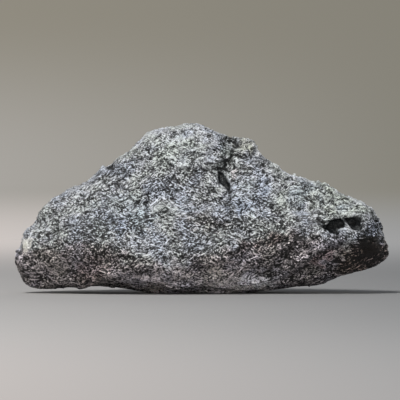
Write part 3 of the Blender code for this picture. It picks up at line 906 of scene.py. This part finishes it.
def stone_tone(web, tone, still, brown):
    """The felt's tone with its contrast, and lighter or darker where the stone is: painted light on
    upward faces and where it stands out, and painted shade below the brow, in hollows and in crevices.
    """
    upward, calm_share = web.rise(web.own("upward"), *ABOVE), web.own("calm")
    contrast = web.more(CONTRAST, upward, CONTRAST_ABOVE)
    contrast = web.more(contrast, brown, CONTRAST_BELOW_BROW)
    contrast = web.more(contrast, calm_share, CONTRAST_CALM)
    tone = web.sum("MULTIPLY", web.sum("SUBTRACT", tone, TONE_MIDDLE), contrast)
    tone = web.sum("ADD", tone, TONE_LEVEL)
    # Painted light where the relief stands out, and painted shade in its hollows.
    tone = web.sum("ADD", tone, web.rise(web.own("standing_out"), *RELIEF_LIGHT_AND_SHADE, smooth=False))
    tone = web.more(tone, calm_share, LIGHTER_CALM)
    drawn = web.vector("MULTIPLY", still, STRETCH)
    broad = web.noise(drawn, BROAD_LENGTH, BROAD_DETAIL, BROAD_ROUGHNESS).outputs["Fac"]
    tone = web.sum("ADD", tone, web.rise(broad, *BROAD_CHANGE))
    # Painted light on faces that look upwards.
    tone = web.more(tone, upward, PAINTED_LIGHT_ABOVE)
    # Painted shade below the brow and where the back faces down.
    tone = web.more(tone, brown, PAINTED_SHADE_BELOW_BROW)
    tone = web.sum("ADD", tone, web.own("lighter"))
    tone = web.sum("ADD", tone, flecks(web, drawn))
    # Painted shade in crevices and creases.
    return web.more(tone, web.own("dark"), PAINTED_SHADE_IN_CREVICES)


def stone_colour(web, tone, still, brown):
    """The felt's colour, with broad changes of hue, warmer below the brow, and tinted, some tints
    brightening it as painted light.
    """
    greys = [(place, [level * part for part in LEANS_TO_BLUE]) for place, level in TONES]
    hue = web.colours(web.noise(still, HUE_LENGTH).outputs["Fac"], HUES)
    cool = web.mix(1.0, web.colours(tone, greys), hue, "MULTIPLY")
    warm = web.mix(1.0, cool, WARM, "MULTIPLY")
    # Tints, some of which brighten as painted light.
    tint = web.node("ShaderNodeAttribute", attribute_name="tint").outputs["Color"]
    return web.mix(1.0, web.mix(brown, cool, warm), tint, "MULTIPLY")


def make_nuummite():
    """Felted dark needles with pale, shining faces, and the gaps between them darkened as painted shade.
    """
    web = Web("nuummite_felt")
    still = web.vector("SCALE", web.node("ShaderNodeTexCoord").outputs["Object"], 1 / MM)
    wander = web.centred(web.noise(still, WANDER_LENGTH).outputs["Color"])
    place = web.vector("ADD", still, web.vector("SCALE", wander, WANDER))
    tone, height, tilt = felt(web, place)
    _, green, blue = web.split(tilt)
    brown, gloss = web.own("brown"), web.own("gloss")
    colour = stone_colour(web, stone_tone(web, tone, still, brown), still, brown)
    black = web.mix(web.sum("GREATER_THAN", green, SLIVER_FROM), BLACK, SLIVER)
    web.put(web.shader.inputs["Base Color"], web.mix(gloss, colour, black))

    lean = web.vector("SCALE", web.centred(tilt), web.between(gloss, FELT_TILT, BLACK_TILT))
    facing = web.vector("ADD", web.node("ShaderNodeNewGeometry").outputs["Normal"], lean)
    bump = web.node("ShaderNodeBump")
    web.put(bump.inputs["Strength"], BUMP_STRENGTH)
    web.put(bump.inputs["Distance"], BUMP_HEIGHT * MM)
    web.put(bump.inputs["Height"], height)
    web.put(bump.inputs["Normal"], web.vector("NORMALIZE", facing))
    web.put(web.shader.inputs["Normal"], bump.outputs[0])
    rough = web.rise(blue, 0, 1, *FELT_ROUGHNESS)
    web.put(web.shader.inputs["Roughness"], web.between(gloss, rough, BLACK_ROUGHNESS))
    web.shader.inputs["IOR"].default_value = 1.62
    web.shader.inputs["Specular IOR Level"].default_value = 0.25
    return web.material


def studio_profile():
    """The stage's section, from its middle outwards, as (radius, height) in metres."""
    profile = [(STAGE_FLAT * step / FLOOR_STEPS, 0.0) for step in range(1, FLOOR_STEPS + 1)]
    for step in range(1, BEND_STEPS + 1):
        turn = math.radians(90 * step / BEND_STEPS)
        radius = STAGE_FLAT + STAGE_BEND * math.sin(turn)
        profile.append((radius, STAGE_BEND * (1 - math.cos(turn))))
    profile.append((STAGE_FLAT + STAGE_BEND, STAGE_TOP))
    return profile


def studio_colours():
    """Pale paper on the floor, darker at the right as painted shade, and a wall that glows softly as
    painted light, brighter at the left, so that it is even on all sides.
    """
    web = Web("studio")
    place = web.node("ShaderNodeTexCoord").outputs["Object"]
    across, _, up = web.node("ShaderNodeSeparateXYZ", place).outputs
    radius = web.vector("LENGTH", web.vector("MULTIPLY", place, (1, 1, 0)))
    near_crossing, far_crossing = web.rise(across, *NEAR_CROSSING), web.rise(across, *FAR_CROSSING)
    paper = web.mix(near_crossing, *NEAR_PAPER)
    floor = web.mix(near_crossing, *FLOOR_GLOW)
    foot = web.mix(far_crossing, *FOOT_GLOW)
    wall = web.mix(far_crossing, *WALL_GLOW)
    glow = web.mix(web.rise(radius, *FLOOR_TO_FOOT), floor, foot)
    glow = web.mix(web.rise(up, *FOOT_TO_WALL), glow, wall)
    glows = web.rise(radius, *PAPER_TO_GLOW)
    web.put(web.shader.inputs["Base Color"], web.mix(glows, paper, (0, 0, 0)))
    web.put(web.shader.inputs["Emission Color"], web.mix(glows, (0, 0, 0), glow))
    web.shader.inputs["Emission Strength"].default_value = 1.0
    web.shader.inputs["Specular IOR Level"].default_value = 0.0
    web.shader.inputs["Roughness"].default_value = STAGE_ROUGHNESS
    return web.material


def make_studio():
    """A round pale floor that bends up into a wall, wider than the camera's way round the stone."""
    mesh = bpy.data.meshes.new("studio")
    net = bmesh.new()
    rows = []
    for radius, height in studio_profile():
        turns = [math.tau * step / STAGE_SIDES for step in range(STAGE_SIDES)]
        rows.append([
            net.verts.new((radius * math.cos(turn), radius * math.sin(turn), height))
            for turn in turns
        ])
    net.faces.new(rows[0])
    for near, far in zip(rows, rows[1:]):
        for first in range(STAGE_SIDES):
            second = (first + 1) % STAGE_SIDES
            net.faces.new((near[first], far[first], far[second], near[second]))
    net.to_mesh(mesh)
    net.free()
    studio = bpy.data.objects.new("studio", mesh)
    bpy.context.scene.collection.objects.link(studio)
    mesh.shade_smooth()
    mesh.materials.append(studio_colours())


def make_lamp(name, place, size, power, colour):
    """A round lamp that shines at the stone and that the camera doesn't see."""
    light = bpy.data.lights.new(name, "AREA")
    light.shape = "DISK"
    light.size = size
    light.energy = power
    light.color = colour
    lamp = bpy.data.objects.new(name, light)
    lamp.location = place
    lamp.rotation_mode = "QUATERNION"
    lamp.rotation_quaternion = (Vector(LIT_PLACE) - Vector(place)).to_track_quat("-Z", "Y")
    lamp.visible_camera = False
    bpy.context.scene.collection.objects.link(lamp)


def make_lights():
    """The lamps, and a little light from all sides."""
    world = bpy.data.worlds.new("studio_air")
    world.use_nodes = True
    background = world.node_tree.nodes["Background"]
    background.inputs["Color"].default_value = (*AIR_COLOUR, 1)
    background.inputs["Strength"].default_value = AIR_STRENGTH
    bpy.context.scene.world = world
    for name, (place, size, power, colour) in LAMPS.items():
        make_lamp(name, place, size, power, colour)


def make_camera():
    """The camera, which sees the stone where and as large as the photograph shows it."""
    scene = bpy.context.scene
    data = bpy.data.cameras.new("camera")
    camera = bpy.data.objects.new("camera", data)
    scene.collection.objects.link(camera)
    scene.camera = camera
    data.sensor_width = SENSOR
    frame_mm = STONE_MM * PHOTO_SIDE / STONE_PIXELS
    data.lens = SENSOR * CAMERA_AWAY / (frame_mm * MM)
    low, high = (Vector(corner) for corner in CAD_BOX)
    middle = (low + high) / 2
    rise = math.radians(CAMERA_RISE)
    back = Vector((0, -math.cos(rise), math.sin(rise)))
    camera.location = middle + back * CAMERA_AWAY
    camera.rotation_euler = (math.radians(90 - CAMERA_RISE), 0, 0)
    data.shift_x = (PHOTO_SIDE / 2 - STONE_MIDDLE_PIXEL[0]) / PHOTO_SIDE
    data.shift_y = (STONE_MIDDLE_PIXEL[1] - PHOTO_SIDE / 2) / PHOTO_SIDE
    data.clip_start = NEAREST_SHOWN
    scene.view_settings.view_transform = "Standard"
    scene.view_settings.look = "None"


stone = make_stone()
stone.data.materials.append(make_nuummite())
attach(stone, "root")
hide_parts("nuummite")
make_studio()
make_lights()
make_camera()
